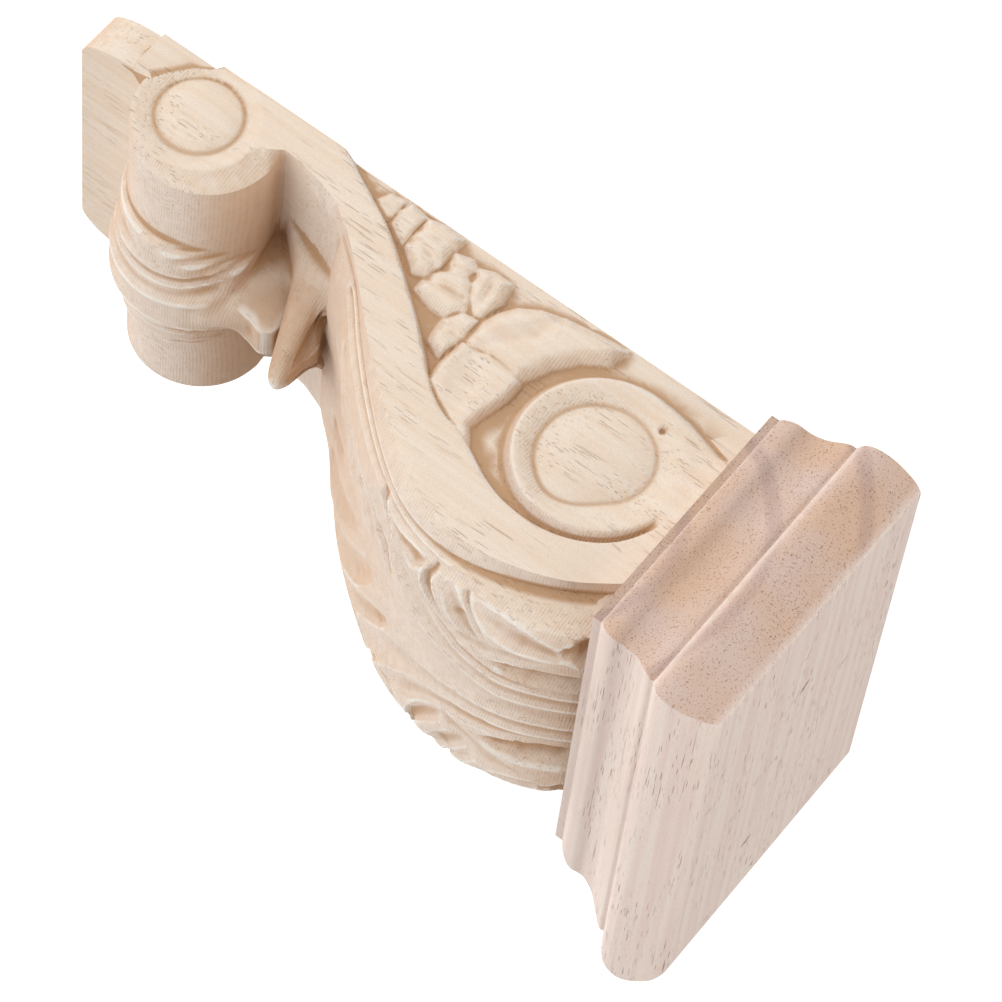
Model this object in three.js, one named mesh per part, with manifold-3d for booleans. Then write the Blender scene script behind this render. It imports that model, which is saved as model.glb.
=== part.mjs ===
// A carved wooden corbel bracket. Its body is one block: a back board with an S-shaped scroll in front
// of it, a large volute on each side under the top, a small scroll at the bottom, an acanthus leaf down
// the front, and a leaf with a drop of husks on each side. A moulded cap board is fixed on top.
// Millimetres, +Z up. The wall plane is y = 0, the front faces -Y, and x = 0 is the middle.
import * as THREE from 'three';
import { mergeVertices } from 'three/addons/utils/BufferGeometryUtils.js';
import Module from 'manifold-3d';

const wasm = await Module();
wasm.setup();

// Overall sizes
const HEIGHT = 170;
const CAP_WIDTH = 99.5;
const CAP_DEPTH = 60;
const CAP_HEIGHT = 29.2;
const GLUE_GAP = 0.3;

// Back board and its narrower tail
const BOARD_HALF_WIDTH = 31;
const BOARD_THICKNESS = 8.5;
const TAIL_HALF_WIDTH = 24.3;
const TAIL_NECK_HALF_WIDTH = 29.6;
const TAIL_HEIGHT = 11.6;

// Half widths of the body over its side faces, and over the grooves beside the front leaf
const BODY_HALF_WIDTH = 33.3;
const GROOVE_HALF_WIDTH = 30;
const RIM_ROUNDNESS = 1.6;
const LEAF_SQUARENESS = 7;

// Places in the side view are [out from the wall, down from the top of the cap]
const BODY_TOP = CAP_HEIGHT + GLUE_GAP;
const ABOVE_BODY = 18;
const VOLUTE = { out: 21, down: 48.3, radius: 16.4, edgeDrop: 0.4, grooveDrop: 1.2, domeDrop: 0.5 };
const VOLUTE_CREST_DROP = 0.15;
const SCROLL = { out: 11, down: 140, radius: 13.4 };
const SCROLL_FACE = { out: 10.6, down: 142.3, radius: 11.7 };
const SCROLL_EYE = { out: 10, down: 142.5, radius: 7.8, sunk: 0.9 };
const SCROLL_END_ANGLE = -98;
const EMBED = 1.6;

// The line of the groove beside the leaf: over the belly, past the curled tip, and past the ledges
// that lead on to the small scroll
const BELLY_GROOVE = [
  [38, 29.4], [43.7, 37.5], [47.6, 45.5], [50, 53.5], [50.2, 61.5], [47.8, 69.5],
  [42.5, 77.5], [35.5, 85.5], [27.5, 93.5], [19.5, 100.8], [13.8, 107.5],
];
const THROAT_GROOVE = [
  [12.4, 110], [11.4, 112], [10.6, 113.8], [9.9, 115.6], [9.2, 117.5], [8.5, 119.5], [7.8, 121.6],
  [7.2, 123.6], [6.8, 125.2], [6.8, 126.3], [8, 126.9], [10, 126.7],
];

// How far the leaf stands out from that line, and how far the rim at the side face lies behind it
const LEAF_RISE = [9.6, 9.2, 8.4, 5.8, 3.4, 2.4, 2.6, 3.2, 3.4, 3, 2.6];
const RIM_FALL = [0.5, 0.2, 0.7, 1.5, 2.4, 2.6, 2.4, 1.8, 0.8, 0, 0.2];
const MIDRIB_FURROW = 1.8;

// Down the middle below the belly: the curled lip, the ledge under it, and the tip of the lower leaf
const LIP_MIDDLE = [
  [19.6, 108.2], [23.2, 108.9], [27, 108.7], [28.9, 109.8], [28.2, 111.8], [25, 113.7], [20, 115], [15.8, 116],
];
const LEDGE_MIDDLE = [[17, 116.2], [21.4, 115.8], [23.1, 117.8], [22.4, 121]];
const LIP_HALF_WIDTH = 14;
const LEDGE_EDGE = { from: 3.5, to: 7 };
const THROAT_FACE = [
  [11.8, 110.2], [10.2, 112.2], [9.4, 114], [8.8, 115.8], [8.2, 117.6], [7.8, 119.6], [7.4, 121.7],
  [7.1, 123.6], [7, 125.2], [7, 126.3], [7.6, 127.2], [8.6, 128.6],
];
const SCROLL_KEYS = 12;
const LOWER_LEAF_RADIUS = { top: 20, end: 14 };

// Carving of the front leaf: [from the middle, along the leaf], ridges left standing and hollows cut in
const LEAF_LENGTH = 101;
const FRONT_RIDGES = [
  { path: [[7.5, 0], [7.6, 28], [10, 38], [15, 46], [21, 51]], height: 1.1, width: 2.6 },
  { path: [[18, 4], [18.5, 14], [21, 22], [23.5, 27]], height: 1.1, width: 2.6 },
  { path: [[15.5, 23], [20.5, 27], [25, 30]], height: 1, width: 2.4 },
  { path: [[10.5, 31], [17, 34], [25, 36]], height: 0.9, width: 2.4 },
  { path: [[8, 37], [10, 40], [16, 46], [23, 50]], height: 1, width: 2.4 },
  { path: [[9, 48], [14, 53], [22, 53.5]], height: 0.9, width: 2.2 },
  { path: [[2.5, 58], [7.5, 60], [17.5, 63], [21.5, 68], [22, 74]], height: 1, width: 2.6 },
  { path: [[0, 64], [5, 68], [17.5, 71]], height: 0.9, width: 2.4 },
];
const FRONT_HOLLOWS = [
  { at: [13.2, 11], reach: [4.2, 12.5], depth: 3.4 },
  { at: [24.5, 8], reach: [3.4, 5.5], depth: 2.4 },
  { at: [22.5, 21], reach: [3.6, 6], depth: 1.2 },
  { at: [19, 29.5], reach: [6, 3.6], depth: 1.2 },
  { at: [18, 40], reach: [6, 4.6], depth: 1.2 },
  { at: [17, 50], reach: [5, 2.6], depth: 0.9 },
  { at: [15, 57], reach: [7.5, 3], depth: 1.8 },
  { at: [3, 44], reach: [3, 7], depth: 0.8 },
  { at: [13, 67], reach: [7, 3], depth: 0.7 },
];

// Carving of the lower leaf on the small scroll
const LOWER_LEAF_LENGTH = 60;
const LOWER_RIDGES = [
  { path: [[0, 0], [0, 40]], height: 0.9, width: 2 },
  { path: [[3, 2], [7, 12], [9, 30]], height: 1, width: 2.4 },
  { path: [[5, 2], [13, 10], [19, 18]], height: 0.9, width: 2.4 },
];
const LOWER_HOLLOWS = [
  { at: [4.5, 24], reach: [2.8, 12], depth: 1.4 },
  { at: [13.5, 24], reach: [3.4, 9], depth: 1.3 },
];

// Side view outlines: the back edge of the raised band, the rim of the volute where it opens out
// under the cap, and the wall side of the small scroll
const BAND_BACK = [
  [-1, 119.4], [2, 114.5], [5, 108.5], [8, 103], [14, 95], [20.5, 87], [28, 78.5], [32.5, 72], [36, 66.5],
  [38.3, 60], [39, 54], [38.3, 48], [36.5, 42], [33, 37], [28, 33.8], [22, 32.2], [16, 31.5],
];
const VOLUTE_OPENING = [[8, 24], [7.6, 33], [5.4, 40.5], [6, 50], [21, 50], [21, 24]];
const BELOW_SCROLL = [[-1, 145], [1, 146.5], [3, 149.5], [7, 152.5], [10, 153.8]];

// Leaves and husks on the sides: outline, the middle that it swells from, and its rise from the board
const SIDE_LEAVES = [
  {
    outline: [
      [2.2, 58], [5, 59.5], [8, 63.8], [12, 66], [17, 68.5], [17.8, 70], [17, 73], [18.5, 77], [17.5, 79.3],
      [12, 79], [9, 77.8], [6, 75.5], [4.3, 71], [3.4, 66],
    ],
    middle: [9.2, 70], rise: 2.2,
  },
  {
    outline: [
      [18, 69.5], [21, 68.8], [31, 69.5], [34, 67.5], [35, 67.5], [32, 73], [29, 77.5], [27.5, 79.5],
      [23, 80], [18.5, 79.5], [17.4, 75],
    ],
    middle: [24.5, 73.4], rise: 2.1,
  },
  {
    outline: [[3.3, 80], [7, 79.5], [11, 79.8], [12.5, 81.5], [10, 84.5], [7, 86.5], [4.2, 86]],
    middle: [7, 82.6], rise: 1.7,
  },
  {
    outline: [[12.6, 80.2], [18, 80], [21.5, 81.5], [20, 84.6], [16, 84.6], [13, 83]],
    middle: [16.8, 82.3], rise: 1.7,
  },
  {
    outline: [
      [12.5, 82], [15, 85], [14.6, 89], [13.8, 92.3], [10.5, 92.3], [8, 91], [4, 91.5], [3.6, 88],
      [5, 86.5], [9, 84],
    ],
    middle: [9.6, 88], rise: 2,
  },
  {
    outline: [[1.2, 92.3], [8, 91.2], [10.7, 92.6], [11, 95], [9.5, 97], [8, 98.8], [5, 99.3], [2, 99.2], [1, 96]],
    middle: [5.8, 95], rise: 2,
  },
  {
    outline: [[2, 99.3], [6.5, 98.8], [8, 99.5], [7.7, 101.5], [6.5, 103.5], [3.5, 104], [1.3, 103]],
    middle: [4.7, 101.3], rise: 1.6,
  },
  {
    outline: [[1.2, 104], [5.5, 103.5], [6.3, 105], [5.3, 107.5], [4, 108], [2, 107]],
    middle: [3.8, 105.6], rise: 1.2,
  },
];

// Moulding of the cap: how far it stands out from its top face, and how far down
const CAP_BULGE = 4.8;
const CAP_OVOLO = { radius: 8, inset: -3.2, down: 7.4, from: -65, to: 39 };
const CAP_TOP_EDGE = -0.4;
const CAP_QUIRK = { inset: 0.9, top: 13 };
const CAP_HOLLOW = [[0.9, 13.9], [-2.55, 17.1], [-3.4, 21.5]];
const CAP_BEAD = { inset: -6, down: 23.5, across: 2.7, deep: 3.8 };
const CAP_FILLET = { inset: -5.7, top: 27.6 };

const mix = THREE.MathUtils.lerp;
const radians = THREE.MathUtils.degToRad;
const smooth = (from, to, value) => THREE.MathUtils.smoothstep(value, from, to);
const steps = (count, from, to) => Array.from({ length: count + 1 }, (_, i) => mix(from, to, i / count));
const between = (a, b, t) => a.map((value, i) => mix(value, b[i], t));
const roundPoint = (centre, reach, angle) => [
  centre.out + reach * Math.cos(radians(angle)),
  centre.down + reach * Math.sin(radians(angle)),
];
const place = (x, [out, down]) => new THREE.Vector3(x, -out, HEIGHT / 2 - down);
const curveThrough = (points) => new THREE.SplineCurve(points.map((p) => new THREE.Vector2(...p)));
const smoothLine = (points, count) => curveThrough(points).getPoints(count).map((p) => [p.x, p.y]);

// A solid from points and faces, turned the right way out
function solid(points, faces) {
  let volume = 0;
  for (let i = 0; i < faces.length; i += 3) {
    const [a, b, c] = faces.slice(i, i + 3).map((index) => points[index]);
    volume += a.dot(new THREE.Vector3().crossVectors(b, c));
  }
  const vertProperties = new Float32Array(points.flatMap((p) => [p.x, p.y, p.z]));
  const triVerts = new Uint32Array(volume > 0 ? faces : [...faces].reverse());
  return new wasm.Manifold(new wasm.Mesh({ numProp: 3, vertProperties, triVerts }));
}

// The faces that fill a flat ring, all turned the way that the ring turns
function fill(ring, flatten) {
  const flat = ring.map(flatten);
  const turn = Math.sign(THREE.ShapeUtils.area(flat));
  return THREE.ShapeUtils.triangulateShape([...flat], []).map((face) => {
    const same = Math.sign(THREE.ShapeUtils.area(face.map((index) => flat[index]))) === turn;
    return same ? face : [...face].reverse();
  });
}

// A closed solid through rings with equal numbers of points, filled flat at both ends
function loft(rings, flatten) {
  const size = rings[0].length;
  const last = (rings.length - 1) * size;
  const faces = [];
  for (let start = 0; start < last; start += size) {
    for (let i = 0; i < size; i += 1) {
      const a = start + i;
      const b = start + (i + 1) % size;
      faces.push(a, b, b + size, a, b + size, a + size);
    }
  }
  fill(rings[0], flatten).forEach(([a, b, c]) => faces.push(c, b, a));
  fill(rings.at(-1), flatten).forEach(([a, b, c]) => faces.push(last + a, last + b, last + c));
  return solid(rings.flat(), faces);
}

const fromSide = (p) => new THREE.Vector2(p.y, p.z);
const fromAbove = (p) => new THREE.Vector2(p.x, p.y);
const fromFront = (p) => new THREE.Vector2(p.x, p.z);

// A plate with a side view outline, between two distances from the middle
const plate = (outline, from, to) => loft([from, to].map((x) => outline.map((p) => place(x, p))), fromSide);

// How much a point is raised by a list of ridges and hollows
function carving(ridges, hollows, from, along) {
  const here = new THREE.Vector2(from, along);
  const nearest = new THREE.Vector2();
  let raised = 0;
  for (const { path, height, width } of ridges) {
    for (let i = 1; i < path.length; i += 1) {
      const start = new THREE.Vector2(...path[i - 1]);
      const run = new THREE.Vector2(...path[i]).sub(start);
      const share = THREE.MathUtils.clamp(here.clone().sub(start).dot(run) / run.lengthSq(), 0, 1);
      const distance = nearest.copy(start).addScaledVector(run, share).distanceTo(here);
      raised = Math.max(raised, height * (1 - smooth(0, width, distance)));
    }
  }
  for (const { at, reach, depth } of hollows) {
    const away = Math.hypot((from - at[0]) / reach[0], (along - at[1]) / reach[1]);
    raised -= depth * (1 - smooth(0.25, 1, away));
  }
  return raised;
}

// The point at a distance from each point of a line, square to the line
function offsetLine(line, distances) {
  return line.map((point, i) => {
    const before = line[Math.max(i - 1, 0)];
    const after = line[Math.min(i + 1, line.length - 1)];
    const run = new THREE.Vector2(after[0] - before[0], after[1] - before[1]).normalize();
    return [point[0] + run.y * distances[i], point[1] - run.x * distances[i]];
  });
}

// Key points round the small scroll, from an angle above the horizontal to its end under the scroll
function scrollArc(centre, from, radiusAt) {
  return steps(SCROLL_KEYS - 1, from, SCROLL_END_ANGLE).map((angle) => {
    return roundPoint(centre, radiusAt(angle), -angle);
  });
}

const grooveKeys = [...BELLY_GROOVE, ...THROAT_GROOVE, ...scrollArc(SCROLL, 85, () => SCROLL.radius)];
const faceKeys = [
  ...offsetLine(BELLY_GROOVE, RIM_FALL.map((fall) => -fall)),
  ...THROAT_FACE,
  ...scrollArc(SCROLL_FACE, 92, () => SCROLL_FACE.radius),
];
const lowerLeafRadius = (angle) => mix(LOWER_LEAF_RADIUS.end, LOWER_LEAF_RADIUS.top, smooth(-110, 20, angle));
const middleKeys = [
  ...offsetLine(BELLY_GROOVE, LEAF_RISE),
  ...LIP_MIDDLE,
  ...LEDGE_MIDDLE,
  ...scrollArc(SCROLL, 48, lowerLeafRadius),
];
const BELLY_END = BELLY_GROOVE.length - 1;
const LIP_END = BELLY_END + LIP_MIDDLE.length;
const LEDGE_END = LIP_END + LEDGE_MIDDLE.length;
const LAST_KEY = grooveKeys.length - 1;

// How fully a key point belongs to the middle line, at a distance from the middle
function middleShare(key, from) {
  if (key <= BELLY_END) return 1 - Math.min(from / GROOVE_HALF_WIDTH, 1) ** LEAF_SQUARENESS;
  if (key <= LIP_END) return 1 - Math.min(from / LIP_HALF_WIDTH, 1) ** 1.3;
  if (key <= LEDGE_END) return 1 - smooth(LEDGE_EDGE.from, LEDGE_EDGE.to, from);
  return 1 - smooth(1, 27, from);
}

// The carved front at one distance from the middle, as a smooth curve through its key points
function frontCurve(from) {
  const beyond = Math.max(from - GROOVE_HALF_WIDTH, 0) / (BODY_HALF_WIDTH - GROOVE_HALF_WIDTH);
  const keys = grooveKeys.map((groove, key) => {
    const leaf = between(groove, middleKeys[key], middleShare(key, from));
    return between(leaf, faceKeys[key], beyond ** RIM_ROUNDNESS);
  });
  return curveThrough(keys);
}

// How much the leaf is raised or cut, at a key along the front and a distance from the middle
function leafCarving(key, from) {
  const inside = 1 - smooth(25.5, 28.5, from);
  if (key <= BELLY_END) {
    const fade = 1 - smooth(BELLY_END - 2, BELLY_END, key);
    const furrow = MIDRIB_FURROW * (1 - smooth(3, 18, from)) * fade;
    return inside * carving(FRONT_RIDGES, FRONT_HOLLOWS, from, key / BELLY_END * LEAF_LENGTH) - furrow;
  }
  if (key < LEDGE_END + 1) return 0;
  const along = (key - LEDGE_END - 1) / (LAST_KEY - LEDGE_END - 1) * LOWER_LEAF_LENGTH;
  return (1 - smooth(20, 26, from)) * carving(LOWER_RIDGES, LOWER_HOLLOWS, from, along);
}

const FRONT_SAMPLES = [
  ...steps(42, 0, BELLY_END),
  ...steps(13, BELLY_END, LIP_END).slice(1),
  ...steps(6, LIP_END, LEDGE_END).slice(1),
  ...steps(17, LEDGE_END, LAST_KEY).slice(1),
];

// The whole side section at x: the carved front, then back along the tail, the wall and the top
function section(x) {
  const from = Math.abs(x);
  const curve = frontCurve(from);
  const front = FRONT_SAMPLES.map((key) => {
    const point = curve.getPoint(key / LAST_KEY);
    const run = curve.getTangent(key / LAST_KEY);
    const raised = leafCarving(key, from);
    return [point.x + run.y * raised, point.y - run.x * raised];
  });
  const tail = [[BOARD_THICKNESS, HEIGHT - TAIL_HEIGHT], [BOARD_THICKNESS, HEIGHT]];
  const back = [[0, HEIGHT], [0, ABOVE_BODY], [front[0][0] - 1, ABOVE_BODY]];
  return [...front, ...tail, ...back].map((point) => place(x, point));
}

// The block with its carved front, still full width and over length at the top
function carvedBlock() {
  const half = [...steps(9, 0, 24), 25.6, 27, 28.3, 29.3, GROOVE_HALF_WIDTH, 31.4, 32.5, BODY_HALF_WIDTH];
  const stations = [...half.slice(1).reverse().map((x) => -x), ...half];
  return loft(stations.map(section), fromSide);
}

// The room beside the board, behind the raised band, that the side carving is sunk into
function sidePocket(side) {
  const outline = [...smoothLine(BAND_BACK, 34), [16, ABOVE_BODY], [-1, ABOVE_BODY]];
  return plate(outline, side * BOARD_HALF_WIDTH, side * (BODY_HALF_WIDTH + 2));
}

// The room beside the board under the small scroll
function scrollPocket(side) {
  const outline = [...BELOW_SCROLL, [BOARD_THICKNESS + 4, HEIGHT + 1], [-1, HEIGHT + 1]];
  return plate(outline, side * BOARD_HALF_WIDTH, side * (BODY_HALF_WIDTH + 2));
}

// The curved notch that narrows the tail
function tailNotch(side) {
  const top = HEIGHT - TAIL_HEIGHT;
  const cove = steps(6, 0, 90).map((angle) => [
    mix(TAIL_NECK_HALF_WIDTH, TAIL_HALF_WIDTH, 1 - Math.cos(radians(angle))),
    mix(top + 1, HEIGHT, Math.sin(radians(angle))),
  ]);
  const beside = BODY_HALF_WIDTH + 3;
  const below = HEIGHT + 1;
  const outline = [...cove, [TAIL_HALF_WIDTH, below], [beside, below], [beside, top], [TAIL_NECK_HALF_WIDTH, top]];
  const ring = (out) => outline.map(([x, down]) => place(side * x, [out, down]));
  return loft([ring(-1), ring(BOARD_THICKNESS + 1)], fromFront);
}

// The large volute: a rim that dips to a spiral groove, then a low dome in the middle
function volute(side) {
  const rings = [];
  const grooveShare = (angle) => mix(0.53, 0.7, smooth(0, 360, (angle + 300) % 360));
  const ring = (shareAt, height) => steps(39, 0, 351).map((angle) => {
    const reach = VOLUTE.radius * shareAt(grooveShare(angle));
    return place(side * height, roundPoint(VOLUTE, reach, angle));
  });
  rings.push(ring(() => 1, BOARD_HALF_WIDTH - EMBED));
  rings.push(ring(() => 1, BODY_HALF_WIDTH - VOLUTE.edgeDrop));
  rings.push(ring(() => 0.95, BODY_HALF_WIDTH - VOLUTE_CREST_DROP));
  rings.push(ring((groove) => mix(groove, 1, 0.45), BODY_HALF_WIDTH - VOLUTE.edgeDrop));
  rings.push(ring((groove) => groove, BODY_HALF_WIDTH - VOLUTE.grooveDrop));
  rings.push(ring((groove) => groove * 0.85, BODY_HALF_WIDTH - mix(VOLUTE.grooveDrop, VOLUTE.domeDrop, 0.6)));
  rings.push(ring((groove) => groove * 0.45, BODY_HALF_WIDTH - VOLUTE.domeDrop));
  return loft(rings, fromSide);
}

// The flat that joins the volute to the band where it opens out under the cap
function voluteOpening(side) {
  return plate(VOLUTE_OPENING, side * (BOARD_HALF_WIDTH - EMBED), side * (BODY_HALF_WIDTH - VOLUTE.edgeDrop));
}

// The round that is sunk into the face of the small scroll, and the dome that rises in it
function scrollEye(side, depths) {
  const ring = ([share, depth]) => steps(27, 0, 360 - 360 / 28).map((angle) => {
    return place(side * (BODY_HALF_WIDTH - depth), roundPoint(SCROLL_EYE, SCROLL_EYE.radius * share, angle));
  });
  return loft(depths.map(ring), fromSide);
}

// A leaf or husk that swells out of the side of the board
function sideLeaf(side, { outline, middle, rise }) {
  const swelling = [[1, -EMBED], [1, 0.15 * rise], [0.86, 0.68 * rise], [0.5, 0.96 * rise], [0.2, rise]];
  const rings = swelling.map(([share, height]) => outline.map((point) => {
    return place(side * (BOARD_HALF_WIDTH + height), between(middle, point, share));
  }));
  return loft(rings, fromSide);
}

function makeBody() {
  let body = carvedBlock();
  const inFront = CAP_DEPTH + 9;
  const top = [[-2, ABOVE_BODY - 1], [inFront, ABOVE_BODY - 1], [inFront, BODY_TOP], [-2, BODY_TOP]];
  for (const side of [-1, 1]) {
    body = body.subtract(sidePocket(side)).subtract(scrollPocket(side)).subtract(tailNotch(side));
    body = body.subtract(scrollEye(side, [[1.05, -1], [1, 0], [0.9, SCROLL_EYE.sunk]]));
    body = body.add(scrollEye(side, [[0.88, 3], [0.86, SCROLL_EYE.sunk], [0.7, 0.35], [0.35, 0]]));
    body = body.add(volute(side)).add(voluteOpening(side));
    for (const leaf of SIDE_LEAVES) body = body.add(sideLeaf(side, leaf));
  }
  return body.subtract(plate(top, -BODY_HALF_WIDTH - 3, BODY_HALF_WIDTH + 3));
}

// The moulded edge of the cap from its top face down, as [outward, down]
function capProfile() {
  const ovolo = steps(8, CAP_OVOLO.from, CAP_OVOLO.to).map((angle) => [
    CAP_OVOLO.inset + CAP_OVOLO.radius * Math.cos(radians(angle)),
    CAP_OVOLO.down + CAP_OVOLO.radius * Math.sin(radians(angle)),
  ]);
  const quirk = [[CAP_QUIRK.inset, CAP_QUIRK.top]];
  const hollow = new THREE.QuadraticBezierCurve(...CAP_HOLLOW.map((p) => new THREE.Vector2(...p)));
  const bead = steps(4, 0, 80).map((angle) => [
    CAP_BEAD.inset + CAP_BEAD.across * Math.cos(radians(angle)),
    CAP_BEAD.down + CAP_BEAD.deep * Math.sin(radians(angle)),
  ]);
  const fillet = [[CAP_FILLET.inset, CAP_FILLET.top], [CAP_FILLET.inset, CAP_HEIGHT]];
  const hollowPoints = hollow.getPoints(5).map((p) => [p.x, p.y]);
  return [[CAP_TOP_EDGE, 0], ...ovolo, ...quirk, ...hollowPoints, ...bead, ...fillet];
}

function makeCap() {
  const halfWidth = CAP_WIDTH / 2 - CAP_BULGE;
  const depth = CAP_DEPTH - CAP_BULGE;
  const rings = capProfile().map(([outward, down]) => [
    place(-halfWidth - outward, [0, down]),
    place(-halfWidth - outward, [depth + outward, down]),
    place(halfWidth + outward, [depth + outward, down]),
    place(halfWidth + outward, [0, down]),
  ]);
  return loft(rings, fromAbove);
}

// A named mesh from a solid
function meshOf(name, shape, material) {
  const { vertProperties, triVerts } = shape.getMesh();
  const geometry = new THREE.BufferGeometry();
  geometry.setAttribute('position', new THREE.BufferAttribute(vertProperties, 3));
  geometry.setIndex(new THREE.BufferAttribute(triVerts, 1));
  const mesh = new THREE.Mesh(mergeVertices(geometry), material);
  mesh.geometry.computeVertexNormals();
  mesh.name = name;
  return mesh;
}

const bodyWood = () => new THREE.MeshStandardMaterial({ color: 0xead8c0, roughness: 0.75, metalness: 0 });
const capWood = () => new THREE.MeshStandardMaterial({ color: 0xdcc5b4, roughness: 0.7, metalness: 0 });

const corbel = new THREE.Group();
corbel.add(meshOf('carved_body', makeBody(), bodyWood()));
corbel.add(meshOf('cap_board', makeCap(), capWood()));

export default corbel;
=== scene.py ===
import math

import bmesh
import bpy
import numpy as np
from mathutils import Matrix, Vector


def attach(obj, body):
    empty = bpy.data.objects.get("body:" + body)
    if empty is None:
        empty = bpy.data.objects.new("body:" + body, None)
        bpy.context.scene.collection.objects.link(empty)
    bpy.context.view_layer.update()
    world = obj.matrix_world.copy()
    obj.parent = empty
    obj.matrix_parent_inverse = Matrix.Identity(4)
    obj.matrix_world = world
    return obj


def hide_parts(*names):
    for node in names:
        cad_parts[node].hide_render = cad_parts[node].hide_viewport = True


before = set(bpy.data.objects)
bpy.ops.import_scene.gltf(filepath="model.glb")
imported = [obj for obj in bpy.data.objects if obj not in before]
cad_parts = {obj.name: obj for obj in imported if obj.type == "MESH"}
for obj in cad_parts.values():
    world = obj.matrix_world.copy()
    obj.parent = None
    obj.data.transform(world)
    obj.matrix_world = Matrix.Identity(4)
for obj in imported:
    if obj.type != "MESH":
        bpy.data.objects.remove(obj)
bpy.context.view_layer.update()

# The view: the corbel seen from its left and a little above, with the picture turned so that the cap
# lies at the lower right, against a plain white sheet under soft light from all round.
CAMERA_PLACE = Vector((-0.75043, -0.40647, 0.24626))
CAMERA_FORWARD = Vector((0.85925, 0.44062, -0.25989)).normalized()
CAMERA_RIGHT = Vector((-0.06988, 0.60438, 0.79363)).normalized()
CAMERA_LENS = 182.38
SENSOR_WIDTH = 36.0
CLIP_END = 20
LIGHT_DISTANCE = 1.6
# Each soft light: its name, the direction it comes from, its size, its power and its colour.
SOFT_LIGHTS = [
    ("window_left", (-1.0, 0.15, 0.35), 1.1, 3.5, (1.0, 0.985, 0.96)),
    ("window_front", (-0.3, -0.6, -1.0), 1.3, 2.0, (0.97, 0.985, 1.0)),
    ("window_top", (-0.2, -0.3, 1.0), 1.3, 16, (1.0, 0.99, 0.975)),
]
STUDIO_TINT = (1.0, 0.99, 0.98, 1)
STUDIO_STRENGTH = 0.32
SHEET_DROP = 0.35
SHEET_SIZE = 8.0
SHEET_WHITE = (0.9, 0.9, 0.9, 1)
SHEET_ROUGHNESS = 0.9
SHEET_GLOW = 0.8


def aim(place, forward, right):
    up = right.cross(forward).normalized()
    turn = Matrix((right, up, -forward)).transposed().to_4x4()
    return Matrix.Translation(place) @ turn


def add_camera():
    camera = bpy.data.objects.new("camera", bpy.data.cameras.new("camera"))
    camera.data.lens = CAMERA_LENS
    camera.data.sensor_width = SENSOR_WIDTH
    camera.data.clip_end = CLIP_END
    camera.matrix_world = aim(CAMERA_PLACE, CAMERA_FORWARD, CAMERA_RIGHT)
    bpy.context.scene.collection.objects.link(camera)
    bpy.context.scene.camera = camera


def add_soft_light(name, direction, size, power, colour):
    lamp = bpy.data.lights.new(name, "AREA")
    lamp.shape = "DISK"
    lamp.size = size
    lamp.energy = power
    lamp.color = colour
    holder = bpy.data.objects.new(name, lamp)
    place = Vector(direction).normalized() * LIGHT_DISTANCE
    turn = place.to_track_quat("Z", "Y").to_matrix().to_4x4()
    holder.matrix_world = Matrix.Translation(place) @ turn
    bpy.context.scene.collection.objects.link(holder)


def add_white_sheet():
    sheet_mesh = bmesh.new()
    bmesh.ops.create_grid(sheet_mesh, x_segments=1, y_segments=1, size=SHEET_SIZE)
    bmesh.ops.translate(sheet_mesh, verts=sheet_mesh.verts, vec=(0, 0, -SHEET_DROP))
    data = bpy.data.meshes.new("white_sheet")
    sheet_mesh.to_mesh(data)
    sheet_mesh.free()
    paper = bpy.data.materials.new("white_paper")
    paper.use_nodes = True
    shader = paper.node_tree.nodes["Principled BSDF"]
    shader.inputs["Base Color"].default_value = SHEET_WHITE
    shader.inputs["Roughness"].default_value = SHEET_ROUGHNESS
    shader.inputs["Emission Color"].default_value = (1, 1, 1, 1)
    shader.inputs["Emission Strength"].default_value = SHEET_GLOW
    data.materials.append(paper)
    sheet = bpy.data.objects.new("white_sheet", data)
    bpy.context.scene.collection.objects.link(sheet)


def add_studio():
    world = bpy.data.worlds.new("studio")
    world.use_nodes = True
    background = world.node_tree.nodes["Background"]
    background.inputs["Color"].default_value = STUDIO_TINT
    background.inputs["Strength"].default_value = STUDIO_STRENGTH
    bpy.context.scene.world = world
    bpy.context.scene.view_settings.view_transform = "Standard"


add_camera()
for light in SOFT_LIGHTS:
    add_soft_light(*light)
add_white_sheet()
add_studio()

# The carved body: one block of bare pale hardwood with its grain upright, carved by machine into an
# S-scroll with a leaf down the front, a volute, leaves and husks on each side, and a small scroll
# below. Its places are in millimetres: out from the wall, and down from the top of the cap.
MM = 0.001
HEIGHT = 170
CAP_HEIGHT = 29.2
GLUE_GAP = 0.3
BODY_TOP = CAP_HEIGHT + GLUE_GAP
# The rough block starts here, above the top of the body, and is cut off level with it.
ABOVE_BODY = 18
BLOCK_SETBACK = 1
BLOCK_OVERHANG = 0.6
BOARD_HALF_WIDTH = 31
BOARD_THICKNESS = 8.5
TAIL_HALF_WIDTH = 24.3
TAIL_NECK_HALF_WIDTH = 29.6
TAIL_HEIGHT = 11.6
TAIL_TOP = HEIGHT - TAIL_HEIGHT
BODY_HALF_WIDTH = 33.3
GROOVE_HALF_WIDTH = 30
RIM_ROUNDNESS = 1.6
RIM_OVERSHOOT = 1.1
FRONT_CELL = 0.42
SAME_PLACE = 1e-7

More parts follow.
